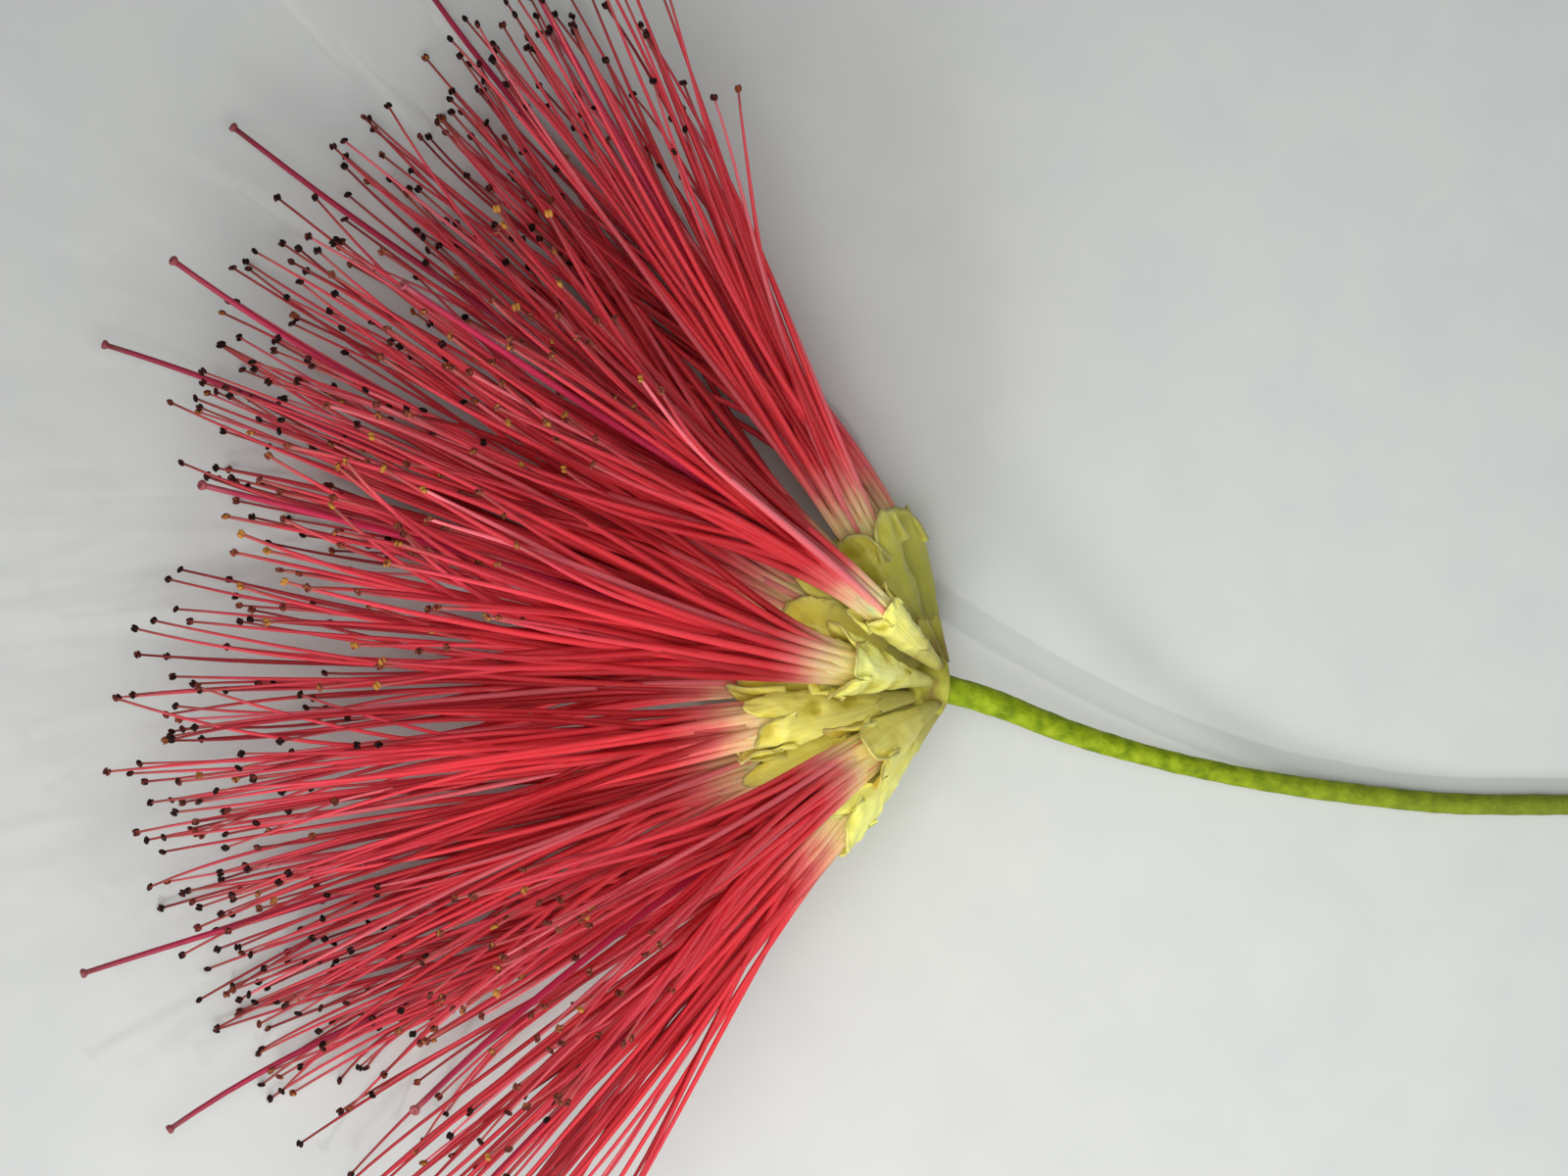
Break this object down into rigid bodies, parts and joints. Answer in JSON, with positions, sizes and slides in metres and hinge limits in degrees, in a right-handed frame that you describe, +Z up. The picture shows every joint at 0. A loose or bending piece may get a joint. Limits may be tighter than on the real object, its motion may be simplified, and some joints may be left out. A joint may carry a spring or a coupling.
{
  "type": "baja fairy duster flower",
  "caption": "Cut flower head lying on its side: a fan of long red stamens from waxy yellow-green florets at the end of a slender green stalk.",
  "frame": {"origin": "on the surface the flower lies on, under the middle of its bounding box", "axes": "+X from the fan of stamens towards the cut end of the stalk, +Z up from the surface"},
  "size_m": [0.053, 0.0454, 0.0244],
  "materials": {
    "stalk": "satin",
    "petal": "satin",
    "stamen": "satin",
    "style": "satin"
  },
  "bodies": {
    "root": {"peduncle": "stalk", "corolla_01": "petal", "corolla_02": "petal", "corolla_03": "petal", "corolla_04": "petal", "corolla_05": "petal", "corolla_06": "petal", "corolla_07": "petal", "corolla_08": "petal", "corolla_09": "petal", "corolla_10": "petal", "corolla_11": "petal", "corolla_12": "petal", "corolla_13": "petal", "stamens_01": "stamen", "stamens_02": "stamen", "stamens_03": "stamen", "stamens_04": "stamen", "stamens_05": "stamen", "stamens_06": "stamen", "stamens_07": "stamen", "stamens_08": "stamen", "stamens_09": "stamen", "stamens_10": "stamen", "stamens_11": "stamen", "stamens_12": "stamen", "stamens_13": "stamen", "style_01": "style", "style_02": "style", "style_03": "style", "style_04": "style", "style_05": "style", "style_06": "style", "style_07": "style", "style_10": "style", "style_11": "style", "style_12": "style", "style_13": "style"}
  },
  "joints": []
}
